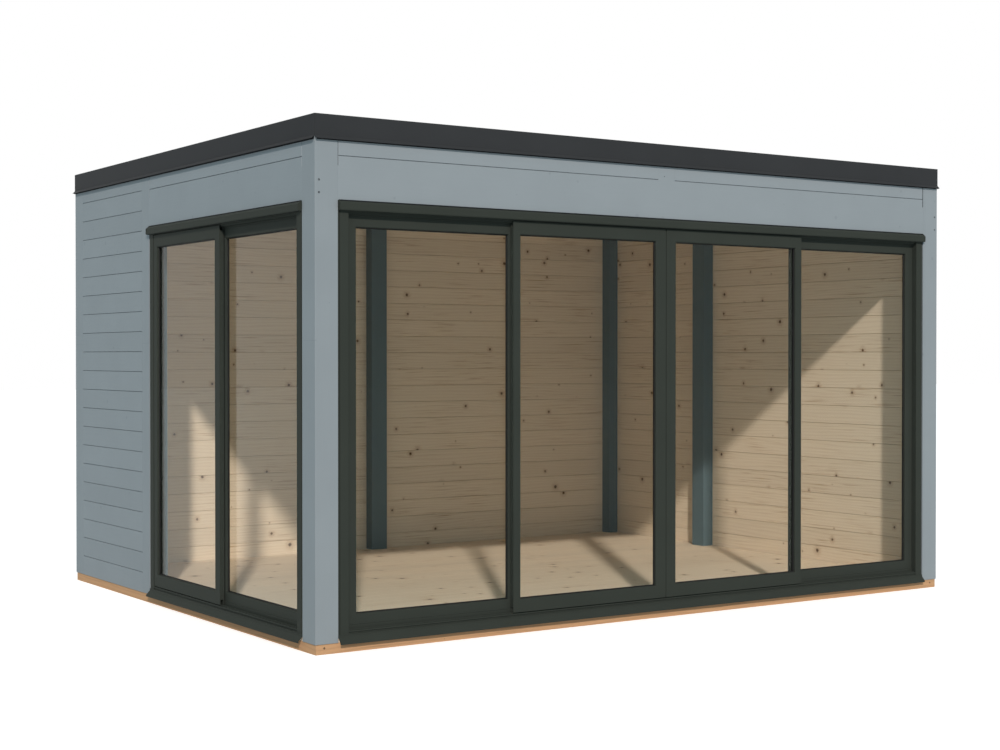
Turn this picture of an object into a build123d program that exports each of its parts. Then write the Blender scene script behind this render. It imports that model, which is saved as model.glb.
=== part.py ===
"""Garden office pod: a flat-roofed timber cabin with a four-leaf sliding glass front
and a two-leaf sliding glass door in its left side.

Frame: millimetres, +Z up, origin on the ground at the middle of the wall rectangle.
The glazed front faces -Y and the side door faces -X.
"""
import os

from build123d import *

# ---------------------------------------------------------------- driving dimensions
pod_width = 4194        # outside of the wall boards, left to right
pod_depth = 3200        # outside of the wall boards, front to back
seat_gap = 0.3          # clearance of a piece that rests on or beside another

# base
bearer_height = 49      # flat bearers that the walls stand on
bearer_width = 145
bearer_inset = 5        # bearers lie this far inside the wall faces
joist_width = 95
joist_count = 5
floor_thickness = 19
floor_gap = 5           # gap between the floor and the posts and wall boards

# walls
wall_height = 2394      # bearers to the top of the walls
board_count = 21        # tongued wall boards, 114 mm cover each
board_thickness = 44
joint_width = 4         # V joint between two boards
joint_depth = 6

# posts
corner_post_across = 120  # corner posts, seen from the front
corner_post_along = 130   # corner posts, seen from the side
wall_post_width = 120     # posts that stand inside against the walls
back_wall_post_depth = 76
right_wall_post_depth = 84
right_wall_post_start = 385  # front side of the right wall post along +Y
door_post_width = 106
door_post_depth = 110
post_round = 2            # eased outer edge of the corner posts

# openings and lintels
side_door_rear = 405     # rear end of the side door along +Y
lintel_height = 207.2
lintel_depth = 110
top_board_height = 116   # board over each lintel, up to the top of the walls
lintel_tenon = 113       # middle of the front lintel, carried up between the top boards
end_joint_drop = 48      # how far the top boards' end joints run down the lintel
end_joint_size = 6       # easing of the boards' and lintels' ends beside the posts

# sliding doors
frame_face = 55          # width of the jambs seen from outside
frame_depth = 67
frame_step_width = 9     # narrow outer edge of the frame, set back
frame_step_depth = 6
frame_gap = 2            # between the frames and the posts
sill_height = 32         # floor to the outer track
head_height = 49         # outer part of the head, over the sliding leaves
leaf_thickness = 25
leaf_set_back = 2        # face of the outer leaves behind the frame's face
running_gap = 5          # clearance round each sliding leaf
fixed_stile = 58         # stiles of the fixed leaves
side_end_stile = 50      # stile of the side door's fixed leaf beside its jamb
slider_stile = 45        # outer stiles of the sliding leaves
meeting_stile = 66       # stiles that meet in the middle of the front
side_meeting_stile = 60  # stile of the side slider that laps the fixed leaf
rail_height = 50         # rails of the fixed leaves
bottom_rail = 67         # rails of the sliding leaves
top_rail = 66
front_leaf_width = 982
side_leaf_width = 878
leaf_overlap = 49        # sliding leaf over fixed leaf
leaf_chamfer = 3
glass_set_back = 16      # outer face of the panes behind the faces of their leaves
glass_thickness = 5
glass_grip = 12          # depth of the panes in their frames
track_slot = 15          # slots in the sliding leaves for the track and head ribs
track_slot_depth = 26
rib_width = 4
track_rib_height = 6
head_rib_height = 12
roller_radius = 10
roller_flange = 2
roller_width = 10
roller_inset = 90        # rollers from the ends of their leaf
axle_radius = 3
axle_seat = 1            # depth of the axle ends in the walls of the slot
rim_slope = 0.6          # bevel of the rollers' flanges
roller_play = 0.8        # between the track rib and the rollers' flanges

# sill nose and rain cap in front of each door
sill_edge = 6            # upper edge of the sill, above its groove
sill_groove = 9          # groove that the nose hooks into
sill_groove_depth = 5
sill_nose_upright = 12   # upright part of the nose below the groove
sill_nose_reach = 24
sill_nose_fall = 24      # sloped part of the nose
sill_nose_lip = 8
sill_sheet = 4
rain_cap_reach = 20
rain_cap_top = 3
rain_cap_height = 47
rain_cap_slope = 15      # sloped top of the cap
rain_cap_tuck = 5        # lower edge of the cap, tucked back under its front
rain_cap_sheet = 2       # the front hangs this far below the cap's underside
rain_cap_inset = 3       # ends of the cap inside the ends of its frame
cap_end_plate = 3        # plates that close the ends of the cap
cap_end_margin = 1.5
cap_end_round = 6

# roof
main_beam_width = 90
main_beam_height = 120
rafter_width = 60
rafter_count = 5
ledger_height = 44
roof_board = 19
kerb_width = 60
kerb_height = 51
covering_thickness = 4
trim_sheet = 2
trim_gap = 0.5           # between the trim and the wall boards
trim_height = 116
trim_return = 20         # downturned inner edge of the trim
drip_reach = 17
drip_drop = 15

# ---------------------------------------------------------------- levels and lines
half_width = pod_width / 2
half_depth = pod_depth / 2
floor_level = bearer_height + floor_thickness
wall_top = bearer_height + wall_height
board_pitch = wall_height / board_count
lintel_top = wall_top - top_board_height
lintel_bottom = lintel_top - lintel_height
frame_bottom = floor_level + seat_gap
frame_top = lintel_bottom - seat_gap
frame_height = frame_top - frame_bottom
track_level = floor_level + sill_height
head_level = frame_top - head_height
leaf_bottom = track_level + running_gap
leaf_top = head_level - running_gap
glass_bottom = leaf_bottom + bottom_rail
glass_top = leaf_top - top_rail
fixed_bottom = glass_bottom - rail_height
fixed_top = glass_top + rail_height
track_rib_top = track_level + track_rib_height
groove_top = track_level - sill_edge
nose_top = groove_top - sill_groove
side_door_front = half_depth - corner_post_along  # along -Y
front_opening = 2 * (half_width - corner_post_across)
side_opening = side_door_front + side_door_rear
inner_leaf_depth = leaf_set_back + leaf_thickness + running_gap
leaf_middle_depth = leaf_set_back + leaf_thickness / 2
wall_post_rear = side_door_rear + door_post_width

# each face plane looks outwards: its x runs along the wall and its y goes up
front_face = Plane(origin=(0, -half_depth, 0), x_dir=(1, 0, 0), z_dir=(0, -1, 0))
back_face = Plane(origin=(0, half_depth, 0), x_dir=(-1, 0, 0), z_dir=(0, 1, 0))
left_face = Plane(origin=(-half_width, 0, 0), x_dir=(0, -1, 0), z_dir=(-1, 0, 0))
right_face = Plane(origin=(half_width, 0, 0), x_dir=(0, 1, 0), z_dir=(1, 0, 0))

os.makedirs("parts", exist_ok=True)


def save(piece, name):
    """Label a finished piece and write it to its own file."""
    piece.label = name
    export_step(piece, f"parts/{name}.step")


def section(face, along=0):
    """Plane that cuts through a wall: x points outwards, y up."""
    middle = face.from_local_coords((along, 0, 0))
    return Plane(origin=middle, x_dir=face.z_dir, z_dir=-face.x_dir)


def plan(face, along, height):
    """Level plane on a wall: x runs along the wall, y goes inwards."""
    middle = face.from_local_coords((along, height, 0))
    return Plane(origin=middle, x_dir=face.x_dir, z_dir=(0, 0, 1))


def cross_plane(face, along=0):
    """Plane across a wall, for mirroring a piece along it."""
    return Plane(origin=face.from_local_coords((along, 0, 0)), z_dir=face.x_dir)


def draw_rectangle(across, height, mode=Mode.ADD):
    """Rectangle of the current sketch between two values of x and two of y."""
    with Locations(((across[0] + across[1]) / 2, (height[0] + height[1]) / 2)):
        Rectangle(across[1] - across[0], height[1] - height[0], mode=mode)


# ---------------------------------------------------------------- base and floor
bearer_x = half_width - bearer_inset
bearer_y = half_depth - bearer_inset
bay_depth = 2 * (bearer_y - bearer_width)

with BuildPart() as long_bearers:
    with BuildSketch():
        with GridLocations(1, 2 * bearer_y - bearer_width, 1, 2):
            Rectangle(2 * bearer_x, bearer_width)
    extrude(amount=bearer_height)
save(long_bearers.part, "long_base_beams")

with BuildPart() as side_bearers:
    with BuildSketch():
        with GridLocations(2 * bearer_x - bearer_width, 1, 2, 1):
            Rectangle(bearer_width, bay_depth)
    extrude(amount=bearer_height)
save(side_bearers.part, "side_base_beams")

with BuildPart() as joists:
    with BuildSketch():
        joist_pitch = 2 * (bearer_x - bearer_width) / (joist_count + 1)
        with GridLocations(joist_pitch, 1, joist_count, 1):
            Rectangle(joist_width, bay_depth)
    extrude(amount=bearer_height)
save(joists.part, "floor_joists")

floor_x = half_width - board_thickness - floor_gap
floor_y = half_depth - board_thickness - floor_gap
corner_post_inner_x = half_width - corner_post_across
threshold_x = half_width - floor_gap
threshold_y = half_depth - floor_gap

with BuildPart() as floor:
    with BuildSketch(Plane.XY.offset(bearer_height)):
        draw_rectangle((-floor_x, floor_x), (-floor_y, floor_y))
        # the floor runs out under both door frames
        door_end = corner_post_inner_x - floor_gap
        draw_rectangle((-door_end, door_end), (-threshold_y, 0))
        draw_rectangle((-threshold_x, 0), (floor_gap - side_door_front, side_door_rear - floor_gap))
        # and is notched round the posts
        with GridLocations(pod_width, pod_depth, 2, 2):
            Rectangle(
                2 * (corner_post_across + floor_gap),
                2 * (corner_post_along + floor_gap),
                mode=Mode.SUBTRACT,
            )
        with Locations((-half_width, side_door_rear + door_post_width / 2)):
            Rectangle(
                2 * (door_post_depth + floor_gap),
                door_post_width + 2 * floor_gap,
                mode=Mode.SUBTRACT,
            )
    extrude(amount=floor_thickness)
save(floor.part, "floor_boards")


# ---------------------------------------------------------------- board walls
def board_wall(face, start, end, name):
    """Wall of stacked boards between two places along a face, V joints on both sides."""
    inside = -board_thickness
    half_joint = joint_width / 2
    joints = [bearer_height + row * board_pitch for row in range(1, board_count)]
    outer_side = [(0, bearer_height)]
    inner_side = [(inside, bearer_height)]
    for level in joints:
        outer_side += [
            (0, level - half_joint),
            (-joint_depth, level),
            (0, level + half_joint),
        ]
        inner_side += [
            (inside, level - half_joint),
            (inside + joint_depth, level),
            (inside, level + half_joint),
        ]
    outer_side.append((0, wall_top))
    inner_side.append((inside, wall_top))
    with BuildPart() as wall:
        with BuildSketch(section(face, (start + end) / 2)):
            with BuildLine():
                Polyline(*outer_side, *reversed(inner_side), close=True)
            make_face()
        extrude(amount=(end - start) / 2, both=True)
    save(wall.part, name)


back_panel_end = corner_post_inner_x - seat_gap
side_panel_back = half_depth - corner_post_along - seat_gap
board_wall(back_face, -back_panel_end, back_panel_end, "back_wall")
board_wall(right_face, seat_gap - side_door_front, side_panel_back, "right_wall")
board_wall(left_face, -side_panel_back, -wall_post_rear - seat_gap, "left_wall")


# ---------------------------------------------------------------- posts
def corner_post(side, end, name):
    """Corner post with an eased outer edge; side is -1 for left, end is -1 for front."""
    middle_x = side * (half_width - corner_post_across / 2)
    middle_y = end * (half_depth - corner_post_along / 2)
    with BuildPart() as post:
        with BuildSketch(Plane.XY.offset(bearer_height)):
            with Locations((middle_x, middle_y)):
                Rectangle(corner_post_across, corner_post_along)
        extrude(amount=wall_top - bearer_height)
        outer_edges = post.edges().filter_by(Axis.Z).group_by(Axis.Y)[0 if end < 0 else -1]
        fillet(outer_edges.sort_by(Axis.X)[0 if side < 0 else -1], post_round)
    save(post.part, name)


corner_post(-1, -1, "front_left_post")
corner_post(1, -1, "front_right_post")
corner_post(-1, 1, "back_left_post")
corner_post(1, 1, "back_right_post")

main_beam_bottom = lintel_top - main_beam_height
with BuildPart() as door_post:
    with BuildSketch(left_face):
        draw_rectangle((-wall_post_rear, -side_door_rear), (bearer_height, wall_top))
    extrude(amount=-board_thickness)
    with BuildSketch(left_face.offset(-board_thickness)):
        draw_rectangle(
            (-wall_post_rear, -side_door_rear), (bearer_height, main_beam_bottom)
        )
    extrude(amount=board_thickness - door_post_depth)
save(door_post.part, "side_door_post")

with BuildPart() as right_post:
    with BuildSketch(right_face.offset(-board_thickness - seat_gap)):
        draw_rectangle(
            (right_wall_post_start, right_wall_post_start + wall_post_width),
            (floor_level, main_beam_bottom),
        )
    extrude(amount=-right_wall_post_depth)
save(right_post.part, "right_wall_post")

ledger_bottom = lintel_top - ledger_height
with BuildPart() as middle_post:
    with BuildSketch(back_face.offset(-board_thickness - seat_gap)):
        draw_rectangle(
            (-wall_post_width / 2, wall_post_width / 2), (floor_level, ledger_bottom)
        )
    extrude(amount=-back_wall_post_depth)
save(middle_post.part, "back_wall_post")


# ---------------------------------------------------------------- lintels and top boards
def lintel(face, middle, length, tenon, name):
    """Beam over a door, with a V joint where each top board meets it."""
    half = length / 2 - seat_gap
    with BuildPart() as beam:
        with BuildSketch(section(face, middle)):
            with BuildLine():
                Polyline(
                    (0, lintel_bottom),
                    (0, lintel_top - joint_width / 2),
                    (-joint_depth, lintel_top),
                    (-lintel_depth, lintel_top),
                    (-lintel_depth, lintel_bottom),
                    close=True,
                )
            make_face()
        extrude(amount=half, both=True)
        # the joint at each end of the top board runs on down the lintel
        with BuildSketch(plan(face, middle, lintel_top - end_joint_drop)):
            with Locations((-half, 0), (half, 0)):
                RegularPolygon(end_joint_size, 4)
        extrude(amount=end_joint_drop, mode=Mode.SUBTRACT)
        if tenon:
            with BuildSketch(face):
                draw_rectangle(
                    (middle - tenon / 2, middle + tenon / 2),
                    (lintel_top - joint_depth, wall_top),
                )
            extrude(amount=-board_thickness)
    save(beam.part, name)


def top_board(face, start, end):
    """Board between a lintel and the roof, eased below and beside the posts."""
    with BuildPart() as board:
        with BuildSketch(section(face, (start + end) / 2)):
            with BuildLine():
                Polyline(
                    (-joint_depth, lintel_top + seat_gap),
                    (0, lintel_top + joint_width / 2),
                    (0, wall_top),
                    (-board_thickness, wall_top),
                    (-board_thickness, lintel_top + seat_gap),
                    close=True,
                )
            make_face()
        extrude(amount=(end - start) / 2 - seat_gap, both=True)
        uprights = board.edges().filter_by(Axis.Z)
        outer_edges = uprights.group_by(Axis((0, 0, 0), face.z_dir))[-1]
        beside_post = outer_edges.filter_by(
            lambda edge: abs(face.to_local_coords(edge.center()).X) > lintel_tenon
        )
        chamfer(beside_post, end_joint_size)
    return board.part


side_middle = (side_door_front - side_door_rear) / 2
lintel(front_face, 0, front_opening, lintel_tenon, "front_lintel")
lintel(left_face, side_middle, side_opening, 0, "side_lintel")

front_end = front_opening / 2
left_board = top_board(front_face, -front_end, -lintel_tenon / 2)
right_board = top_board(front_face, lintel_tenon / 2, front_end)
save(Compound(children=[left_board, right_board]), "front_top_boards")
save(top_board(left_face, -side_door_rear, side_door_front), "side_top_board")


# ---------------------------------------------------------------- roof frame
beam_middle_y = side_door_rear + door_post_width / 2
rafter_x = half_width - board_thickness - seat_gap
rafter_y = half_depth - board_thickness - seat_gap

with BuildPart() as main_beam:
    with BuildSketch(Plane.XY.offset(main_beam_bottom + seat_gap)):
        with Locations((0, beam_middle_y)):
            Rectangle(2 * rafter_x, main_beam_width)
    extrude(amount=main_beam_height - seat_gap)
save(main_beam.part, "main_beam")

with BuildPart() as ledger:
    with BuildSketch(back_face.offset(-board_thickness - seat_gap)):
        ledger_end = corner_post_inner_x - seat_gap
        draw_rectangle((-ledger_end, ledger_end), (ledger_bottom + seat_gap, lintel_top))
    extrude(amount=-ledger_height)
save(ledger.part, "joist_ledger")

with BuildPart() as rafters:
    with BuildSketch(Plane.XY.offset(lintel_top + seat_gap)):
        with GridLocations(2 * rafter_x / (rafter_count + 1), 1, rafter_count, 1):
            Rectangle(rafter_width, 2 * rafter_y)
    extrude(amount=top_board_height - seat_gap)
save(rafters.part, "roof_beams")

with BuildPart() as roof:
    with BuildSketch(Plane.XY.offset(wall_top)):
        Rectangle(pod_width, pod_depth)
    extrude(amount=roof_board)
save(roof.part, "roof_boards")

# ---------------------------------------------------------------- roof edge and covering
roof_level = wall_top + roof_board
kerb_top = roof_level + kerb_height

with BuildPart() as kerb:
    with BuildSketch(Plane.XY.offset(roof_level)):
        Rectangle(pod_width, pod_depth)
        offset(amount=-kerb_width, mode=Mode.SUBTRACT)
    extrude(amount=kerb_height)
save(kerb.part, "roof_kerb")

with BuildPart() as covering:
    with BuildSketch(Plane.XY.offset(roof_level + seat_gap)):
        Rectangle(
            pod_width - 2 * (kerb_width + seat_gap),
            pod_depth - 2 * (kerb_width + seat_gap),
        )
    extrude(amount=covering_thickness)
save(covering.part, "roof_covering")


def roof_trim(face, length):
    """Folded sheet over the kerb, mitred at both ends, with a drip edge cut square there."""
    half_sheet = trim_sheet / 2
    outside = trim_gap + half_sheet
    inside = -kerb_width - seat_gap - half_sheet
    flange = kerb_top + seat_gap + half_sheet
    bottom = flange + half_sheet - trim_height
    with BuildPart() as trim:
        with BuildSketch(section(face)):
            with BuildLine():
                Polyline(
                    (inside, flange - trim_return),
                    (inside, flange),
                    (outside, flange),
                    (outside, bottom + drip_drop),
                    (drip_reach, bottom),
                )
            trace(line_width=trim_sheet)
        extrude(amount=length / 2 + outside + half_sheet, both=True)
        for direction in (face.x_dir, -face.x_dir):
            corner = face.from_local_coords((0, 0, 0)) + direction * length / 2
            mitre = Plane(origin=corner, z_dir=direction - face.z_dir)
            split(bisect_by=mitre.offset(-seat_gap / 2), keep=Keep.BOTTOM)
    return trim.part


save(roof_trim(front_face, pod_width), "front_roof_trim")
save(roof_trim(back_face, pod_width), "back_roof_trim")
with BuildPart() as side_trims:
    add(roof_trim(left_face, pod_depth))
    mirror(about=Plane.YZ)
save(side_trims.part, "side_roof_trims")


# ---------------------------------------------------------------- door frames
def door_jambs(face, start, end, name):
    """Both uprights of a door frame, each with its outer edge stepped back."""
    inner = start + frame_face
    with BuildPart() as jambs:
        with BuildSketch(plan(face, 0, frame_bottom)):
            draw_rectangle((start, inner), (0, frame_depth))
            with Locations((start, 0)):
                Rectangle(2 * frame_step_width, 2 * frame_step_depth, mode=Mode.SUBTRACT)
        extrude(amount=frame_height)
        mirror(about=cross_plane(face, (start + end) / 2))
    save(jambs.part, name)


def door_head(face, start, end, name):
    """Head of a door frame with the rib that guides the sliding leaves."""
    rib_near = -leaf_middle_depth + rib_width / 2
    rib_far = -leaf_middle_depth - rib_width / 2
    step = -inner_leaf_depth + running_gap / 2
    with BuildPart() as head:
        with BuildSketch(section(face, (start + end) / 2)):
            draw_rectangle((-frame_depth, 0), (fixed_top + seat_gap, frame_top))
            draw_rectangle((step, 0), (fixed_top, head_level), mode=Mode.SUBTRACT)
            draw_rectangle((rib_far, rib_near), (head_level - head_rib_height, head_level))
        extrude(amount=(end - start) / 2 - frame_face - seat_gap, both=True)
    save(head.part, name)


def door_sill(face, start, end, name):
    """Stepped sill with a track rib and a sloped nose that laps the jambs in front."""
    rib_near = -leaf_middle_depth + rib_width / 2
    rib_far = -leaf_middle_depth - rib_width / 2
    step = -inner_leaf_depth + running_gap / 2
    length = (end - start) / 2
    bend = nose_top - sill_nose_upright
    lip_top = bend - sill_nose_fall
    lip_bottom = lip_top - sill_nose_lip
    with BuildPart() as sill:
        with BuildSketch(section(face, (start + end) / 2)):
            with BuildLine():
                Polyline(
                    (seat_gap, frame_bottom),
                    (seat_gap, nose_top),
                    (-sill_groove_depth, nose_top),
                    (-sill_groove_depth, groove_top),
                    (seat_gap, groove_top),
                    (seat_gap, track_level),
                    (rib_near, track_level),
                    (rib_near, track_rib_top),
                    (rib_far, track_rib_top),
                    (rib_far, track_level),
                    (step, track_level),
                    (step, fixed_bottom),
                    (-frame_depth, fixed_bottom),
                    (-frame_depth, frame_bottom),
                    close=True,
                )
            make_face()
        extrude(amount=length - frame_face - seat_gap, both=True)
        with BuildSketch(section(face, (start + end) / 2)):
            with BuildLine():
                Polyline(
                    (seat_gap, nose_top),
                    (sill_sheet / 2, nose_top),
                    (sill_sheet / 2, bend),
                    (sill_nose_reach, lip_top),
                    (sill_nose_reach, lip_bottom),
                    (sill_nose_reach - sill_sheet, lip_bottom),
                    (sill_nose_reach - sill_sheet, lip_top),
                    (seat_gap, bend - sill_sheet),
                    close=True,
                )
            make_face()
        extrude(amount=length, both=True)
    save(sill.part, name)


def rain_cap(face, start, end, name):
    """Cap in front of a door frame's head, with a sloped top and a plate at each end."""
    bottom = frame_top - rain_cap_height
    shoulder = frame_top - rain_cap_slope
    back_of_front = rain_cap_reach - rain_cap_sheet
    middle = (start + end) / 2
    half_length = (end - start) / 2 - rain_cap_inset
    with BuildPart() as cap:
        with BuildSketch(section(face, middle)):
            with BuildLine():
                Polyline(
                    (seat_gap, frame_top),
                    (rain_cap_top, frame_top),
                    (rain_cap_reach, shoulder),
                    (rain_cap_reach, bottom + rain_cap_tuck),
                    (back_of_front, bottom),
                    (back_of_front - rain_cap_sheet, bottom),
                    (back_of_front - rain_cap_sheet, bottom + rain_cap_sheet),
                    (seat_gap, bottom + rain_cap_sheet),
                    close=True,
                )
            make_face()
        extrude(amount=half_length, both=True)
        with BuildSketch(section(face, middle + half_length)) as plate:
            edge = rain_cap_reach + cap_end_margin
            with BuildLine():
                Polyline(
                    (seat_gap, frame_top),
                    (rain_cap_top + cap_end_margin, frame_top),
                    (edge, shoulder),
                    (edge, bottom),
                    (seat_gap, bottom),
                    close=True,
                )
            make_face()
            fillet(plate.vertices().group_by(Axis.X)[-1], cap_end_round)
        extrude(amount=-cap_end_plate)
        mirror(about=cross_plane(face, middle))
    save(cap.part, name)


front_start = frame_gap - front_end
front_stop = front_end - frame_gap
side_start = frame_gap - side_door_rear
side_stop = side_door_front - frame_gap
door_frames = (
    (front_face, front_start, front_stop, "front"),
    (left_face, side_start, side_stop, "side"),
)
for face, start, stop, door in door_frames:
    door_jambs(face, start, stop, f"{door}_door_jambs")
    door_head(face, start, stop, f"{door}_door_head")
    door_sill(face, start, stop, f"{door}_door_sill")
    rain_cap(face, start, stop, f"{door}_door_rain_cap")


# ---------------------------------------------------------------- door leaves
def glazed_leaf(face, depth, ends, levels, glass_ends):
    """Leaf frame with a groove for its pane; depth is that of its outer face."""
    outer = face.offset(-depth)
    with BuildPart() as leaf:
        with BuildSketch(outer):
            draw_rectangle(ends, levels)
            with BuildSketch(outer, mode=Mode.SUBTRACT):
                draw_rectangle(glass_ends, (glass_bottom, glass_top))
        extrude(amount=-leaf_thickness)
        outer_side = leaf.faces().sort_by(Axis((0, 0, 0), face.z_dir))[-1]
        chamfer(outer_side.inner_wires()[0].edges(), leaf_chamfer)
        grip = glass_grip + seat_gap
        with BuildSketch(outer.offset(seat_gap - glass_set_back)):
            draw_rectangle(
                (glass_ends[0] - grip, glass_ends[1] + grip),
                (glass_bottom - grip, glass_top + grip),
            )
        extrude(amount=-glass_thickness - 2 * seat_gap, mode=Mode.SUBTRACT)
    return leaf.part


def pane(face, depth, glass_ends):
    """Pane of a leaf, held in the leaf's groove."""
    with BuildPart() as glass:
        with BuildSketch(face.offset(-depth - glass_set_back)):
            draw_rectangle(
                (glass_ends[0] - glass_grip, glass_ends[1] + glass_grip),
                (glass_bottom - glass_grip, glass_top + glass_grip),
            )
        extrude(amount=-glass_thickness)
    return glass.part


def sliding_leaf(face, ends, glass_ends):
    """Leaf slotted over the track and head ribs, with grooved rollers on axles."""
    frame = glazed_leaf(face, leaf_set_back, ends, (leaf_bottom, leaf_top), glass_ends)
    middle = (ends[0] + ends[1]) / 2
    cheek = track_slot / 2 + axle_seat
    half_roller = roller_width / 2
    rim = roller_radius + roller_flange
    groove = rib_width / 2 + roller_play
    with BuildPart() as leaf:
        add(frame)
        with BuildSketch(section(face, middle)):
            for start, stop in (
                (track_level, leaf_bottom + track_slot_depth),
                (leaf_top - track_slot_depth, head_level),
            ):
                draw_rectangle(
                    (-leaf_middle_depth - track_slot / 2, -leaf_middle_depth + track_slot / 2),
                    (start, stop),
                )
        extrude(amount=ends[1] - ends[0], both=True, mode=Mode.SUBTRACT)
        for along in (ends[0] + roller_inset, ends[1] - roller_inset):
            centre = section(face.offset(-leaf_middle_depth), along).offset(0)
            centre.origin += Vector(0, 0, track_rib_top + seat_gap + roller_radius)
            with BuildSketch(centre):
                with BuildLine():
                    Polyline(
                        (-cheek, 0),
                        (-cheek, axle_radius),
                        (-half_roller, axle_radius),
                        (-half_roller, rim),
                        (-groove - rim_slope, rim),
                        (-groove, roller_radius),
                        (groove, roller_radius),
                        (groove + rim_slope, rim),
                        (half_roller, rim),
                        (half_roller, axle_radius),
                        (cheek, axle_radius),
                        (cheek, 0),
                        close=True,
                    )
                make_face()
            revolve(axis=Axis(centre.origin, face.z_dir))
    return leaf.part


half_meeting_gap = running_gap / 2
front_reach = half_meeting_gap + front_leaf_width
front_leaf_ends = (half_meeting_gap, front_reach)
front_leaf_glass = (half_meeting_gap + meeting_stile, front_reach - slider_stile)
front_fixed_ends = (front_reach - leaf_overlap, front_stop - frame_face - seat_gap)
side_leaf_rear = side_start + frame_face + running_gap
side_reach = side_leaf_rear + side_leaf_width
side_leaf_ends = (side_leaf_rear, side_reach)
side_fixed_ends = (side_reach - leaf_overlap, side_stop - frame_face - seat_gap)
fixed_levels = (fixed_bottom + seat_gap, fixed_top)
centre_plane = cross_plane(front_face)

right_slider = sliding_leaf(front_face, front_leaf_ends, front_leaf_glass)
right_glass = pane(front_face, leaf_set_back, front_leaf_glass)
save(right_slider, "front_right_slider")
save(right_glass, "front_right_slider_glass")
save(mirror(right_slider, about=centre_plane, mode=Mode.PRIVATE), "front_left_slider")
save(mirror(right_glass, about=centre_plane, mode=Mode.PRIVATE), "front_left_slider_glass")

front_fixed_glass = (front_fixed_ends[0] + fixed_stile, front_fixed_ends[1] - fixed_stile)
with BuildPart() as front_fixed:
    add(glazed_leaf(front_face, inner_leaf_depth, front_fixed_ends, fixed_levels, front_fixed_glass))
    mirror(about=centre_plane)
save(front_fixed.part, "front_fixed_leaves")
with BuildPart() as front_fixed_panes:
    add(pane(front_face, inner_leaf_depth, front_fixed_glass))
    mirror(about=centre_plane)
save(front_fixed_panes.part, "front_fixed_glass")

side_glass = (side_leaf_rear + slider_stile, side_reach - side_meeting_stile)
save(sliding_leaf(left_face, side_leaf_ends, side_glass), "side_slider")
save(pane(left_face, leaf_set_back, side_glass), "side_slider_glass")
side_fixed_glass = (side_fixed_ends[0] + fixed_stile, side_fixed_ends[1] - side_end_stile)
save(
    glazed_leaf(left_face, inner_leaf_depth, side_fixed_ends, fixed_levels, side_fixed_glass),
    "side_fixed_leaf",
)
save(pane(left_face, inner_leaf_depth, side_fixed_glass), "side_fixed_glass")
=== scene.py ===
"""Dresses the garden office pod: timber, paint, anthracite profiles, glass and the small parts."""
import math

import bmesh
import bpy
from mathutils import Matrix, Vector


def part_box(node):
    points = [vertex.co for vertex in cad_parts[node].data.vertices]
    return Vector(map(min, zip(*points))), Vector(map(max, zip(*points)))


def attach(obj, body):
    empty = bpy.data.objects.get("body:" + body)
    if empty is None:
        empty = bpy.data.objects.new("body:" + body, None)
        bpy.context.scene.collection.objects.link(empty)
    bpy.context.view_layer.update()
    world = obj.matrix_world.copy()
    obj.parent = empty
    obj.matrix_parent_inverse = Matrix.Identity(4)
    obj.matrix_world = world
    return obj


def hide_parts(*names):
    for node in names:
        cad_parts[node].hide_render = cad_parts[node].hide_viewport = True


bl_info = {
    "name": "Garden Office Pod",
    "version": (1, 0, 0),
    "blender": (4, 5, 0),
    "location": "3D View > Sidebar > Pod",
    "description": "Dresses the garden office pod with its finishes, seals, screws and floor",
    "category": "Object",
}

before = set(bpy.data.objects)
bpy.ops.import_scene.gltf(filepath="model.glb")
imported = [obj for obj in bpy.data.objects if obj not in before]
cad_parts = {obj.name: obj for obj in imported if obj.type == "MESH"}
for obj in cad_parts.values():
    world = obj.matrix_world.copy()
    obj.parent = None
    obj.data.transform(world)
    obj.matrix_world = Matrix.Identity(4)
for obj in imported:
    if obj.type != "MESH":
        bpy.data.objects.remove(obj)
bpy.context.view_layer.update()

# Sizes in metres
GLASS_GRIP = 0.012  # depth of the panes in their leaves
PANE_TO_FACE = 0.016  # from a pane's outer face to the face of its leaf
PANE_TO_BACK = 0.004  # from a pane's inner face to the back of its leaf
WALL_BOARD = 0.114  # cover width of the wall boards
ROOF_BOARD = 0.096  # cover width of the roof boards
ONE_TIMBER = 1.0  # board width that leaves a beam or post in one piece
SAME_POINT = 0.00002  # corners of a mesh that lie closer than this are one
PLANED_RELIEF = 0.00015  # depth of the grain on planed boards

PAINT_GLOSS = 0.03  # specular level of the matt paint

VECTOR = "NodeSocketVector"
FLOAT = "NodeSocketFloat"
COLOUR = "NodeSocketColor"
COATING = [("Colour", COLOUR), ("Roughness", FLOAT), ("Height", FLOAT)]

CORNER_POSTS = ["front_left_post", "front_right_post", "back_left_post", "back_right_post"]
INNER_POSTS = ["back_wall_post", "right_wall_post"]
PROFILES = [
    "front_door_jambs", "front_door_head", "front_door_sill", "front_door_rain_cap",
    "side_door_jambs", "side_door_head", "side_door_sill", "side_door_rain_cap",
    "front_fixed_leaves", "front_left_slider", "front_right_slider",
    "side_fixed_leaf", "side_slider",
]
PANES = {
    "front_fixed_glass": "cabin",
    "front_left_slider_glass": "front_left_door",
    "front_right_slider_glass": "front_right_door",
    "side_fixed_glass": "cabin",
    "side_slider_glass": "side_door",
}


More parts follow.
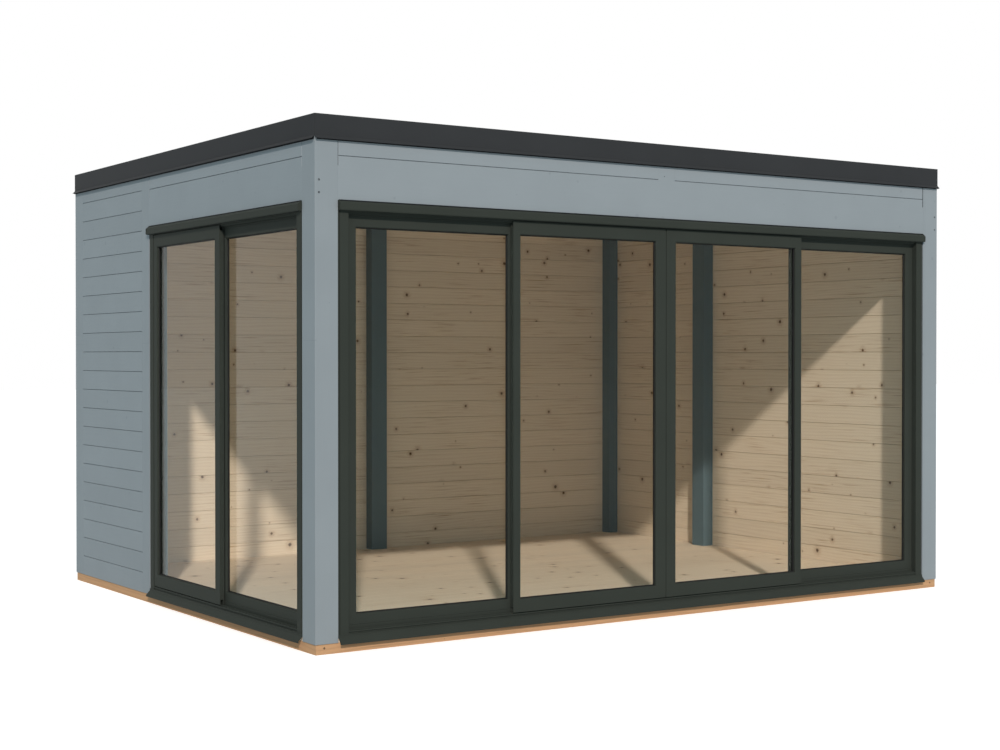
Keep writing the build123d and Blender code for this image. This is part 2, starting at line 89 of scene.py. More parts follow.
class PodSettings(bpy.types.PropertyGroup):
    """Colours and sizes of the pod's finishes"""

    paint: bpy.props.FloatVectorProperty(
        name="Paint", description="Colour of the painted timber",
        subtype="COLOR", size=3, min=0, max=1, default=(0.278, 0.305, 0.322),
    )
    # a darker copy of the outside paint, painted shade for the posts inside the room
    inner_shade_paint: bpy.props.FloatVectorProperty(
        name="Inner posts", description="Darker paint for painted shade on the posts inside",
        subtype="COLOR", size=3, min=0, max=1, default=(0.102, 0.150, 0.167),
    )
    pine: bpy.props.FloatVectorProperty(
        name="Pine", description="Light colour of the bare pine",
        subtype="COLOR", size=3, min=0, max=1, default=(0.79, 0.66, 0.505),
    )
    pine_streak: bpy.props.FloatVectorProperty(
        name="Pine streaks", description="Darker growth rings of the bare pine",
        subtype="COLOR", size=3, min=0, max=1, default=(0.55, 0.39, 0.25),
    )
    knot: bpy.props.FloatVectorProperty(
        name="Knots", description="Colour of the knots in bare pine",
        subtype="COLOR", size=3, min=0, max=1, default=(0.14, 0.080, 0.045),
    )
    base: bpy.props.FloatVectorProperty(
        name="Base timber", description="Colour of the impregnated base timber",
        subtype="COLOR", size=3, min=0, max=1, default=(0.62, 0.355, 0.185),
    )
    anthracite: bpy.props.FloatVectorProperty(
        name="Anthracite", description="Powder coat of the door profiles",
        subtype="COLOR", size=3, min=0, max=1, default=(0.040, 0.045, 0.038),
    )
    trim: bpy.props.FloatVectorProperty(
        name="Roof trim", description="Powder coat of the roof trim",
        subtype="COLOR", size=3, min=0, max=1, default=(0.041, 0.042, 0.044),
    )
    plank_width: bpy.props.FloatProperty(
        name="Plank width", description="Cover width of the floor planks",
        subtype="DISTANCE", unit="LENGTH", min=0.05, max=0.3, default=0.114,
    )
    plank_joint: bpy.props.FloatProperty(
        name="Plank joint", description="Width of the V joint between floor planks",
        subtype="DISTANCE", unit="LENGTH", min=0.0005, max=0.01, default=0.003,
    )
    gasket: bpy.props.FloatProperty(
        name="Gasket", description="Width of the rubber gasket round each pane",
        subtype="DISTANCE", unit="LENGTH", min=0.001, max=0.02, default=0.005,
    )
    screw: bpy.props.FloatProperty(
        name="Screw heads", description="Diameter of the screw heads",
        subtype="DISTANCE", unit="LENGTH", min=0.004, max=0.02, default=0.0095,
    )


# ------------------------------------------------------------ node helpers
def feed(tree, socket, value):
    """Link an output to an input, or set the input to a plain value."""
    if isinstance(value, bpy.types.NodeSocket):
        tree.links.new(value, socket)
    else:
        socket.default_value = value


def add_node(tree, kind, inputs=None, **properties):
    """A node with its properties set and its inputs set or linked."""
    node = tree.nodes.new(kind)
    for name, value in properties.items():
        setattr(node, name, value)
    for key, value in (inputs or {}).items():
        feed(tree, node.inputs[key], value)
    return node


def group_outputs(tree, name, inputs):
    """Outputs of a named node group placed in a tree."""
    return add_node(tree, "ShaderNodeGroup", inputs, node_tree=bpy.data.node_groups[name]).outputs


def math_node(tree, operation, first, second=0.0, third=0.0):
    """Output of one Math node."""
    node = add_node(tree, "ShaderNodeMath", {0: first, 1: second, 2: third}, operation=operation)
    return node.outputs[0]


def weighted_sum(tree, start, *parts):
    """Start plus the product of each (value, weight) pair."""
    total = start
    for value, weight in parts:
        total = math_node(tree, "MULTIPLY_ADD", value, weight, total)
    return total


def mix_colour(tree, factor, first, second, blend="MIX"):
    """Output of a colour Mix node."""
    inputs = {0: factor, 6: first, 7: second}
    return add_node(tree, "ShaderNodeMix", inputs, data_type="RGBA", blend_type=blend).outputs[2]


def grey(tree, shade):
    """Grey as light as shade."""
    return add_node(tree, "ShaderNodeCombineColor", {0: shade, 1: shade, 2: shade}).outputs[0]


def shaded(tree, colour, shade):
    """Colour made lighter or darker by a factor."""
    return mix_colour(tree, 1.0, colour, grey(tree, shade), "MULTIPLY")


def ramp(tree, factor, low, high):
    """Smooth step from 0 at low to 1 at high."""
    node = add_node(
        tree, "ShaderNodeMapRange",
        {"Value": factor, "From Min": low, "From Max": high},
        interpolation_type="SMOOTHSTEP",
    )
    return node.outputs[0]


def noise(tree, place, scale, detail=2.0, roughness=0.5):
    """Value of a Noise texture."""
    inputs = {"Vector": place, "Scale": scale, "Detail": detail, "Roughness": roughness}
    return add_node(tree, "ShaderNodeTexNoise", inputs).outputs["Fac"]


def split_vector(tree, place):
    """The three parts of a vector."""
    return add_node(tree, "ShaderNodeSeparateXYZ", {0: place}).outputs


def join_vector(tree, first, second, third):
    """Vector of three values."""
    return add_node(tree, "ShaderNodeCombineXYZ", {0: first, 1: second, 2: third}).outputs[0]


def vector_node(tree, operation, first, second):
    """Output of one Vector Math node."""
    return add_node(tree, "ShaderNodeVectorMath", {0: first, 1: second}, operation=operation).outputs[0]


def rgba(colour):
    """Colour with full alpha."""
    return (*colour, 1.0)


# ------------------------------------------------------------ node groups
def new_group(name, sockets_in, sockets_out):
    """Empty shader node group with named sockets, and the values that are given to it."""
    group = bpy.data.node_groups.new(name, "ShaderNodeTree")
    for label, kind, default in sockets_in:
        socket = group.interface.new_socket(label, in_out="INPUT", socket_type=kind)
        if default is not None:
            socket.default_value = default
    for label, kind in sockets_out:
        group.interface.new_socket(label, in_out="OUTPUT", socket_type=kind)
    return group, group.nodes.new("NodeGroupInput").outputs


def close_group(group, values):
    """Link each value to the group's output of that name."""
    end = group.nodes.new("NodeGroupOutput")
    for label, value in values.items():
        group.links.new(value, end.inputs[label])


def make_softwood_group():
    """Growth rings, fibres and knots of sawn boards; x of the vector runs along the grain."""
    group, given = new_group(
        "Softwood",
        [("Vector", VECTOR, None), ("Board Width", FLOAT, WALL_BOARD), ("Knots", FLOAT, 1.0)],
        [
            (label, FLOAT)
            for label in ("Rings", "Fibre", "Streak", "Knot", "Near Knot", "Board Tone", "Height")
        ],
    )
    along, across, deep = split_vector(group, given["Vector"])
    board = math_node(group, "FLOOR", math_node(group, "DIVIDE", across, given["Board Width"]))
    board_seed = add_node(group, "ShaderNodeTexWhiteNoise", {"W": board}, noise_dimensions="1D")
    tone = board_seed.outputs["Value"]
    most_shift = 37.0  # how far along its log a board may come from
    shifted = math_node(group, "MULTIPLY_ADD", tone, most_shift, along)
    on_board = join_vector(group, shifted, across, board)
    in_log = join_vector(group, shifted, across, deep)

    # knots: one in each cell, most of them pin knots, their sizes counted in cells
    rarity = 4.2
    largest = 0.074
    pin_knot = 0.0012
    raggedness = 0.022
    cells = add_node(
        group, "ShaderNodeTexVoronoi", {"Vector": on_board, "Scale": 5.5, "Randomness": 1.0},
        voronoi_dimensions="2D",
    )
    cell_seed = add_node(group, "ShaderNodeSeparateColor", {0: cells.outputs["Color"]}).outputs[0]
    distance = cells.outputs["Distance"]
    size = math_node(group, "MULTIPLY", math_node(group, "POWER", cell_seed, rarity), largest)
    size = math_node(group, "MULTIPLY_ADD", size, given["Knots"], pin_knot)
    edge = weighted_sum(group, distance, (noise(group, on_board, 90.0), raggedness))
    edge = math_node(group, "SUBTRACT", edge, raggedness / 2)
    off_knot = ramp(group, math_node(group, "DIVIDE", edge, size), 0.45, 1.25)
    knot = math_node(group, "SUBTRACT", 1.0, off_knot)
    away = ramp(group, math_node(group, "DIVIDE", distance, size), 0.6, 4.0)
    near_knot = math_node(group, "SUBTRACT", 1.0, away)

    # growth rings, bent round the knots
    sweep = noise(group, vector_node(group, "MULTIPLY", in_log, (0.9, 5.0, 1.0)), 1.0)
    ring_phase = weighted_sum(
        group, 0.0, (across, 95.0), (sweep, 9.0), (near_knot, 1.6), (tone, 3.0)
    )
    rings = math_node(group, "POWER", math_node(group, "PINGPONG", ring_phase, 1.0), 2.2)

    # fibres
    fibre_place = vector_node(group, "MULTIPLY", in_log, (3.5, 210.0, 210.0))
    fibre = noise(group, fibre_place, 1.0, detail=5.0, roughness=0.65)

    # thin dark streaks, gathered in patches
    streak = noise(group, vector_node(group, "MULTIPLY", on_board, (3.2, 115.0, 1.0)), 1.0, detail=4.0)
    dark_line = ramp(group, streak, 0.53, 0.74)
    in_patch = ramp(group, noise(group, on_board, 1.4, detail=1.0), 0.42, 0.62)

    close_group(group, {
        "Rings": rings,
        "Fibre": fibre,
        "Streak": math_node(group, "MULTIPLY", dark_line, in_patch),
        "Knot": knot,
        "Near Knot": near_knot,
        "Board Tone": tone,
        "Height": weighted_sum(group, 0.0, (rings, 0.35), (fibre, 0.5), (knot, -0.4)),
    })


def make_brushed_paint_group():
    """Thin matt paint over timber: soft blotches, brush strokes and a little of the grain."""
    group, given = new_group(
        "Brushed Paint",
        [("Vector", VECTOR, None), ("Colour", COLOUR, None), ("Board Width", FLOAT, WALL_BOARD)],
        COATING,
    )
    place = given["Vector"]
    wood = group_outputs(group, "Softwood", {"Vector": place, "Board Width": given["Board Width"]})
    blotch = noise(group, place, 4.0, detail=3.0)
    strokes = noise(group, vector_node(group, "MULTIPLY", place, (6.0, 170.0, 170.0)), 1.0, detail=3.0)
    shade = weighted_sum(
        group, 0.93,
        (blotch, 0.10), (wood["Board Tone"], 0.035), (wood["Fibre"], 0.05), (wood["Knot"], -0.10),
    )
    close_group(group, {
        "Colour": shaded(group, given["Colour"], shade),
        "Roughness": weighted_sum(group, 0.46, (strokes, 0.16)),
        "Height": weighted_sum(group, wood["Height"], (strokes, 0.5)),
    })


def make_powder_coat_group():
    """Fine orange peel and faint cloudiness of a powder coat."""
    group, given = new_group("Powder Coat", [("Vector", VECTOR, None), ("Colour", COLOUR, None)], COATING)
    cloud = noise(group, given["Vector"], 3.0, detail=4.0)
    shade = weighted_sum(group, 0.89, (cloud, 0.22))
    close_group(group, {
        "Colour": shaded(group, given["Colour"], shade),
        "Roughness": weighted_sum(group, 0.40, (cloud, 0.14)),
        "Height": noise(group, given["Vector"], 650.0),
    })


# ------------------------------------------------------------ materials
def start_material(name, gloss=0.5):
    """New material with its Principled shader, and the object coordinates."""
    material = bpy.data.materials.new(name)
    material.use_nodes = True
    tree = material.node_tree
    shader = tree.nodes["Principled BSDF"]
    shader.inputs["Specular IOR Level"].default_value = gloss
    place = add_node(tree, "ShaderNodeTexCoord").outputs["Object"]
    return material, tree, shader, place


def finish_surface(tree, shader, colour, roughness, height=None, relief=0.0):
    """Feed the shader's colour and roughness, and its bump, whose relief is in metres."""
    feed(tree, shader.inputs["Base Color"], colour)
    feed(tree, shader.inputs["Roughness"], roughness)
    if height is not None:
        bump = add_node(tree, "ShaderNodeBump", {"Height": height, "Distance": relief, "Strength": 1.0})
        tree.links.new(bump.outputs[0], shader.inputs["Normal"])


def turn(tree, place, order):
    """Object coordinates reordered so that x runs along the grain, such as order XZY."""
    parts = dict(zip("XYZ", split_vector(tree, place)))
    return join_vector(tree, *(parts[axis] for axis in order))


def two_tone(tree, place, outside, inside):
    """Outside colour, and the inside colour on what lies within the inner faces of the walls; the inside
    colour given to it is a darker copy of the paint, painted shade of the room.
    """
    parts = split_vector(tree, place)
    within = [
        math_node(tree, "LESS_THAN", math_node(tree, "ABSOLUTE", parts[axis]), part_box(wall)[0][axis])
        for axis, wall in ((0, "right_wall"), (1, "back_wall"))
    ]
    return mix_colour(tree, math_node(tree, "MULTIPLY", *within), rgba(outside), rgba(inside))


def painted_timber(name, colour, order, relief=0.00005, inside=None):
    """Painted timber whose grain runs along the first axis of order.

    inside is the colour of its faces in the room, where that is another one; the darker inner paint given
    for it is painted shade of the room.
    """
    material, tree, shader, place = start_material(name, PAINT_GLOSS)
    tint = two_tone(tree, place, colour, inside) if inside else rgba(colour)
    paint = group_outputs(
        tree, "Brushed Paint",
        {"Vector": turn(tree, place, order), "Colour": tint, "Board Width": ONE_TIMBER},
    )
    finish_surface(tree, shader, paint["Colour"], paint["Roughness"], paint["Height"], relief)
    return material


def pine_colour(tree, wood, settings):
    """Colour of bare pine from the Softwood group's outputs."""
    grain = weighted_sum(
        tree, -0.18,
        (wood["Rings"], 0.22), (wood["Fibre"], 0.45), (wood["Streak"], 1.20), (wood["Near Knot"], 0.55),
    )
    colour = mix_colour(tree, grain, rgba(settings.pine), rgba(settings.pine_streak))
    colour = shaded(tree, colour, weighted_sum(tree, 0.965, (wood["Board Tone"], 0.07)))
    return mix_colour(tree, wood["Knot"], colour, rgba(settings.knot))


def bare_pine(name, settings, order, board_width, knots=1.0):
    """Planed pine boards."""
    material, tree, shader, place = start_material(name, gloss=0.3)
    wood = group_outputs(
        tree, "Softwood",
        {"Vector": turn(tree, place, order), "Board Width": board_width, "Knots": knots},
    )
    roughness = weighted_sum(tree, 0.5, (wood["Fibre"], 0.15))
    finish_surface(
        tree, shader, pine_colour(tree, wood, settings), roughness, wood["Height"], PLANED_RELIEF
    )
    return material


def board_wall(name, settings, order, first_board, middle, inward):
    """Wall boards: painted outside and bare pine inside.

    first_board is the level where the lowest board starts. middle is the coordinate half way
    through the boards, and inward is 1 or -1, the side of it where the room is.
    """
    material, tree, shader, place = start_material(name, PAINT_GLOSS)
    vector = turn(tree, vector_node(tree, "ADD", place, (0.0, 0.0, -first_board)), order)
    boards = {"Vector": vector, "Board Width": WALL_BOARD}
    paint = group_outputs(tree, "Brushed Paint", {**boards, "Colour": rgba(settings.paint)})
    wood = group_outputs(tree, "Softwood", boards)
    through = split_vector(tree, vector)[2]
    side = math_node(tree, "MULTIPLY", math_node(tree, "SUBTRACT", through, middle), inward)
    in_room = math_node(tree, "GREATER_THAN", side, 0.0)
    colour = mix_colour(tree, in_room, paint["Colour"], pine_colour(tree, wood, settings))
    finish_surface(tree, shader, colour, paint["Roughness"], paint["Height"], PLANED_RELIEF)
    return material


def base_timber(name, settings, order):
    """Impregnated sawn timber of the base, darker in its grain and darkest in its knots."""
    material, tree, shader, place = start_material(name, gloss=0.2)
    wood = group_outputs(
        tree, "Softwood", {"Vector": turn(tree, place, order), "Board Width": ONE_TIMBER, "Knots": 0.3}
    )
    dark, darkest = (rgba([share * part for part in settings.base]) for share in (0.66, 0.25))
    grain = weighted_sum(
        tree, -0.15, (wood["Rings"], 0.35), (wood["Fibre"], 0.7), (wood["Streak"], 0.6)
    )
    colour = mix_colour(tree, grain, rgba(settings.base), dark)
    colour = mix_colour(tree, wood["Knot"], colour, darkest)
    finish_surface(tree, shader, colour, 0.75, wood["Height"], 0.0008)
    return material


def powder_coat(name, colour):
    """Powder-coated metal."""
    material, tree, shader, place = start_material(name, gloss=0.02)
    coat = group_outputs(tree, "Powder Coat", {"Vector": place, "Colour": rgba(colour)})
    finish_surface(tree, shader, coat["Colour"], coat["Roughness"], coat["Height"], 0.00006)
    return material


def rubber(name, colour, roughness):
    """Dull rubber with a soft mottle and a little dust."""
    material, tree, shader, place = start_material(name, gloss=0.15)
    mottle = noise(tree, place, 22.0, detail=5.0)
    dust = ramp(tree, noise(tree, place, 1.6, detail=6.0), 0.4, 0.7)
    shade = weighted_sum(tree, 0.55, (mottle, 0.5), (dust, 0.5))
    finish_surface(tree, shader, shaded(tree, rgba(colour), shade), roughness, mottle, 0.0006)
    return material


def clear_glass(name):
    """Clear panes that let light through without dark shadows.

    The index is below float glass's 1.5, so that the panes mirror little over the room.
    """
    material, tree, shader, place = start_material(name)
    green = noise(tree, place, 0.7, detail=1.0)
    tint = mix_colour(tree, green, (0.970, 0.985, 0.975, 1.0), (0.980, 0.990, 0.985, 1.0))
    finish_surface(tree, shader, tint, 0.0)
    shader.inputs["IOR"].default_value = 1.15
    shader.inputs["Transmission Weight"].default_value = 1.0
    clear = add_node(tree, "ShaderNodeBsdfTransparent", {"Color": (0.95, 0.965, 0.955, 1.0)})
    path = add_node(tree, "ShaderNodeLightPath").outputs
    through = math_node(tree, "MAXIMUM", path["Is Shadow Ray"], path["Is Diffuse Ray"])
    blend = add_node(tree, "ShaderNodeMixShader", {0: through, 1: shader.outputs[0], 2: clear.outputs[0]})
    tree.links.new(blend.outputs[0], tree.nodes["Material Output"].inputs["Surface"])
    return material


def dark_steel(name):
    """Blackened steel of the screws, a little lighter where the finish has worn."""
    material, tree, shader, place = start_material(name, gloss=0.05)
    spots = noise(tree, place, 900.0, detail=3.0)
    worn = ramp(tree, spots, 0.55, 0.75)
    colour = mix_colour(tree, worn, (0.006, 0.006, 0.007, 1.0), (0.030, 0.030, 0.030, 1.0))
    finish_surface(tree, shader, colour, weighted_sum(tree, 0.35, (spots, 0.25)))
    return material


# ------------------------------------------------------------ pieces
def give(material, *nodes):
    """Material on every slot of some CAD nodes' objects."""
    for node in nodes:
        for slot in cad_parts[node].material_slots:
            slot.material = material


def soften(width, *nodes):
    """Small rounded edges on CAD nodes, by modifiers that leave their meshes alone."""
    for node in nodes:
        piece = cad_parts[node]
        weld = piece.modifiers.new("Weld", "WELD")
        weld.merge_threshold = SAME_POINT
        bevel = piece.modifiers.new("Bevel", "BEVEL")
        bevel.width = width
        bevel.segments = 2
        bevel.limit_method = "ANGLE"
        bevel.angle_limit = math.radians(40)


def finish_piece(builder, name, material, body):
    """Object from a bmesh, given its material and the body that it rides on."""
    mesh = bpy.data.meshes.new(name)
    bmesh.ops.recalc_face_normals(builder, faces=builder.faces)
    builder.to_mesh(mesh)
    builder.free()
    piece = bpy.data.objects.new(name, mesh)
    bpy.context.scene.collection.objects.link(piece)
    mesh.materials.append(material)
    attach(piece, body)
    return piece


def solid_boxes(node):
    """Corner pairs of the separate solids of a CAD node."""
    builder = bmesh.new()
    builder.from_mesh(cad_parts[node].data)
    bmesh.ops.remove_doubles(builder, verts=builder.verts, dist=SAME_POINT)
    unseen = dict.fromkeys(builder.verts)
    boxes = []
    while unseen:
        solid = [unseen.popitem()[0]]
        for vertex in solid:
            for edge in vertex.link_edges:
                neighbour = edge.other_vert(vertex)
                if neighbour in unseen:
                    del unseen[neighbour]
                    solid.append(neighbour)
        low = [min(vertex.co[axis] for vertex in solid) for axis in range(3)]
        high = [max(vertex.co[axis] for vertex in solid) for axis in range(3)]
        boxes.append((low, high))
    builder.free()
    return boxes


def gasket_section(width, height):
    """Section of a gasket as (inset, rise) points: a rounded lip that climbs to the leaf."""
    lip = 0.35 * height
    section = [(0.0, 0.0)]
    for step in range(4):
        angle = math.radians(30 * step)
        section.append((width - lip + lip * math.cos(angle), lip * math.sin(angle)))
    section.append((0.25 * width, height))
    section.append((0.0, height))
    return section


def sweep_round(builder, place, low, high, section):
    """Closed section swept round a rectangle with mitred corners.

    place turns (across, level, rise) into a point; low and high are the rectangle's corners.
    """
    loops = []
    for inset, rise in section:
        corners = (
            (low[0] + inset, low[1] + inset),
            (high[0] - inset, low[1] + inset),
            (high[0] - inset, high[1] - inset),
            (low[0] + inset, high[1] - inset),
        )
        loops.append([builder.verts.new(place(across, level, rise)) for across, level in corners])
    for loop, following in zip(loops, loops[1:] + loops[:1]):
        for corner in range(4):
            after = (corner + 1) % 4
            builder.faces.new((loop[corner], loop[after], following[after], following[corner]))


def add_bar(builder, low, high, round_edges):
    """Bar between two corners with its edges rounded, added to a bmesh."""
    made = bmesh.ops.create_cube(builder, size=1.0)["verts"]
    bmesh.ops.scale(builder, vec=Vector(high) - Vector(low), verts=made)
    bmesh.ops.translate(builder, vec=(Vector(high) + Vector(low)) / 2, verts=made)
    edges = list(dict.fromkeys(edge for vertex in made for edge in vertex.link_edges))
    bmesh.ops.bevel(
        builder, geom=edges, offset=round_edges, offset_type="OFFSET", segments=2, profile=0.5,
        affect="EDGES", clamp_overlap=True, material=-1,
    )


def add_screw(builder, centre, outward, diameter):
    """Countersunk screw head with a socket in it, just proud of its surface."""
    height = 0.0012
    socket_depth = 0.0009
    turned = Vector(outward).to_track_quat("Z", "Y").to_matrix().to_4x4()
    turned.translation = Vector(centre)
    made = bmesh.ops.create_cone(
        builder, cap_ends=True, segments=20, radius1=0.42 * diameter, radius2=0.5 * diameter,
        depth=height, matrix=turned,
    )["verts"]
    faces = {face for vertex in made for face in vertex.link_faces}
    head = max(faces, key=lambda face: face.calc_center_median().dot(Vector(outward)))
    bmesh.ops.inset_individual(builder, faces=[head], thickness=0.25 * diameter, depth=0.0)
    bmesh.ops.inset_individual(
        builder, faces=[head], thickness=0.02 * diameter, depth=-socket_depth
    )


# ------------------------------------------------------------ steps
class POD_OT_timber(bpy.types.Operator):
    """Paint the posts, lintels and top boards"""

    bl_idname = "pod.timber"
    bl_label = "Paint posts and lintels"

    def execute(self, context):
        settings = context.scene.pod
        arris = 0.0015
        # the posts' faces in the room and the inner posts take the darker inner paint, which is painted
        # shade of the room
        upright = painted_timber("Painted post", settings.paint, "ZXY", inside=settings.inner_shade_paint)
        along_x = painted_timber("Painted front lintel", settings.paint, "XZY")
        along_y = painted_timber("Painted side lintel", settings.paint, "YZX")
        inner = painted_timber("Inner post paint with painted shade", settings.inner_shade_paint, "ZXY", relief=0.00001)
        give(upright, *CORNER_POSTS, "side_door_post")
        give(inner, *INNER_POSTS)
        give(along_x, "front_lintel", "front_top_boards")
        give(along_y, "side_lintel", "side_top_board")
        soften(arris, *CORNER_POSTS, "side_door_post", *INNER_POSTS)
        return {"FINISHED"}


class POD_OT_walls(bpy.types.Operator):
    """Paint the board walls outside and show bare pine inside"""

    bl_idname = "pod.walls"
    bl_label = "Finish board walls"

    def execute(self, context):
        settings = context.scene.pod
        for node, order, axis, inward in (
            ("back_wall", "XZY", 1, -1), ("right_wall", "YZX", 0, -1), ("left_wall", "YZX", 0, 1),
        ):
            low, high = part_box(node)
            middle = (low[axis] + high[axis]) / 2
            give(board_wall(f"Boards of {node}", settings, order, low[2], middle, inward), node)
        return {"FINISHED"}


class POD_OT_base(bpy.types.Operator):
    """Finish the base timbers"""

    bl_idname = "pod.base"
    bl_label = "Finish base timbers"

    def execute(self, context):
        settings = context.scene.pod
        give(base_timber("Base timber along X", settings, "XZY"), "long_base_beams")
        give(base_timber("Base timber along Y", settings, "YZX"), "side_base_beams", "floor_joists")
        return {"FINISHED"}


class POD_OT_floor(bpy.types.Operator):
    """Lay the floor as single planks with V joints"""

    bl_idname = "pod.floor"
    bl_label = "Lay floor planks"

    def execute(self, context):
        settings = context.scene.pod
        joint = settings.plank_joint
        on_cut = 0.00001
        near = 0.0001
        floor_low, floor_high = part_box("floor_boards")
        builder = bmesh.new()
        builder.from_mesh(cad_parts["floor_boards"].data)
        bmesh.ops.remove_doubles(builder, verts=builder.verts, dist=SAME_POINT)
        count = int((floor_high[1] - floor_low[1]) / settings.plank_width)
        levels = [floor_low[1] + row * settings.plank_width for row in range(1, count + 1)]
        for level in levels:
            for edge in (level - joint / 2, level, level + joint / 2):
                geometry = builder.verts[:] + builder.edges[:] + builder.faces[:]
                bmesh.ops.bisect_plane(
                    builder, geom=geometry, dist=on_cut, plane_co=(0, edge, 0), plane_no=(0, 1, 0)
                )
        for level in levels:
            bottom_of_joint = [
                vertex for vertex in builder.verts
                if abs(vertex.co.y - level) < near and vertex.co.z > floor_high[2] - near
            ]
            bmesh.ops.translate(builder, vec=(0, 0, -joint), verts=bottom_of_joint)
        material = bare_pine("Floor pine", settings, "XYZ", settings.plank_width, knots=1.3)
        planks = finish_piece(builder, "floor_planks", material, "cabin")
        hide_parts("floor_boards")
        return {"FINISHED"}


class POD_OT_roof(bpy.types.Operator):
    """Finish the roof boards, beams, kerb, covering and trim"""

    bl_idname = "pod.roof"
    bl_label = "Finish roof"

    def execute(self, context):
        settings = context.scene.pod
        give(bare_pine("Roof boards", settings, "XYZ", ROOF_BOARD), "roof_boards")
        along_x = bare_pine("Roof timber along X", settings, "XZY", ONE_TIMBER, knots=0.6)
        along_y = bare_pine("Roof timber along Y", settings, "YZX", ONE_TIMBER, knots=0.6)
        give(along_x, "main_beam", "joist_ledger")
        give(along_y, "roof_beams")
        give(rubber("Roof covering", (0.024, 0.025, 0.027), 0.7), "roof_covering", "roof_kerb")
        trim = powder_coat("Roof trim coat", settings.trim)
        give(trim, "front_roof_trim", "back_roof_trim", "side_roof_trims")
        self.lay_seams()
        return {"FINISHED"}

    def lay_seams(self):
        """Lapped seams where the sheets of the roof covering are joined."""
        lap = 0.06
        thickness = 0.0015
        short_of_edge = 0.08
        above = 0.0002
        low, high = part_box("roof_covering")
        level = high[2] + above
        builder = bmesh.new()
        for share in (1 / 3, 2 / 3):
            middle = low[0] + share * (high[0] - low[0])
            add_bar(
                builder,
                (middle - lap / 2, low[1] + short_of_edge, level),
                (middle + lap / 2, high[1] - short_of_edge, level + thickness),
                round_edges=0.0005,
            )
        finish_piece(builder, "roof_seams", rubber("Seam tape", (0.027, 0.028, 0.030), 0.6), "cabin")


class POD_OT_profiles(bpy.types.Operator):
    """Powder-coat the door frames and leaves"""

    bl_idname = "pod.profiles"
    bl_label = "Finish door profiles"

    def execute(self, context):
        arris = 0.0006
        give(powder_coat("Anthracite coat", context.scene.pod.anthracite), *PROFILES)
        soften(arris, *PROFILES)
        return {"FINISHED"}


class POD_OT_glass(bpy.types.Operator):
    """Glaze the doors and fit a gasket round both sides of each pane"""

    bl_idname = "pod.glass"
    bl_label = "Glaze doors"

    def execute(self, context):
        width = context.scene.pod.gasket
        glass = clear_glass("Clear glass")
        seal = rubber("Gasket rubber", (0.012, 0.012, 0.012), 0.6)
        for node, body in PANES.items():
            give(glass, node)
            builder = bmesh.new()
            for low, high in solid_boxes(node):
                self.add_gaskets(builder, low, high, width)
            finish_piece(builder, node.replace("glass", "gaskets"), seal, body)
        return {"FINISHED"}

    def add_gaskets(self, builder, low, high, width):
        """Outer and inner gasket of one pane, whose outer face is its low side."""
        outer_rise = 0.25 * PANE_TO_FACE
        inner_rise = 0.8 * PANE_TO_BACK
        deep = 1 if high[1] - low[1] < high[0] - low[0] else 0
        along = 1 - deep
        opening_low = (low[along] + GLASS_GRIP, low[2] + GLASS_GRIP)
        opening_high = (high[along] - GLASS_GRIP, high[2] - GLASS_GRIP)

        def point(across, level, depth):
            return (across, depth, level) if deep == 1 else (depth, across, level)

        sweep_round(
            builder, lambda across, level, rise: point(across, level, low[deep] - rise),
            opening_low, opening_high, gasket_section(width, outer_rise),
        )
        sweep_round(
            builder, lambda across, level, rise: point(across, level, high[deep] + rise),
            opening_low, opening_high, gasket_section(width, inner_rise),
        )


class POD_OT_seals(bpy.types.Operator):
    """Close the gaps between the leaves with brush strips"""

    bl_idname = "pod.seals"
    bl_label = "Fit brush seals"

    def execute(self, context):
        pile = rubber("Brush pile", (0.014, 0.014, 0.014), 0.9)
        left_low, left_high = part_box("front_left_slider")
        right_low, right_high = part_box("front_right_slider")
        side_low, side_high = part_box("side_slider")
        back = left_high[1]
        thick = 0.004
        wide = 0.007
        clear = 0.010

        # between each front slider and the fixed leaf that it laps
        self.strip(
            "front_left_brush", "front_left_door", pile,
            (left_low[0] + clear, back, left_low[2] + clear),
            (left_low[0] + clear + wide, back + thick, left_high[2] - clear),
        )
        self.strip(
            "front_right_brush", "front_right_door", pile,
            (right_high[0] - clear - wide, back, right_low[2] + clear),
            (right_high[0] - clear, back + thick, right_high[2] - clear),
        )
        self.strip(
            "side_brush", "side_door", pile,
            (side_high[0], side_low[1] + clear, side_low[2] + clear),
            (side_high[0] + thick, side_low[1] + clear + wide, side_high[2] - clear),
        )

        # where the two front sliders meet
        set_back = 0.002
        cover_width = 0.85 * (right_low[0] - left_high[0])
        cover = powder_coat("Meeting seal", context.scene.pod.anthracite)
        self.strip(
            "front_meeting_seal", "front_left_door", cover,
            (left_high[0], left_low[1] + set_back, left_low[2] + clear),
            (left_high[0] + cover_width, back - clear, left_high[2] - clear),
        )
        return {"FINISHED"}

    def strip(self, name, body, material, low, high):
        """One upright strip between two corners."""
        builder = bmesh.new()
        add_bar(builder, low, high, round_edges=0.0008)
        finish_piece(builder, name, material, body)


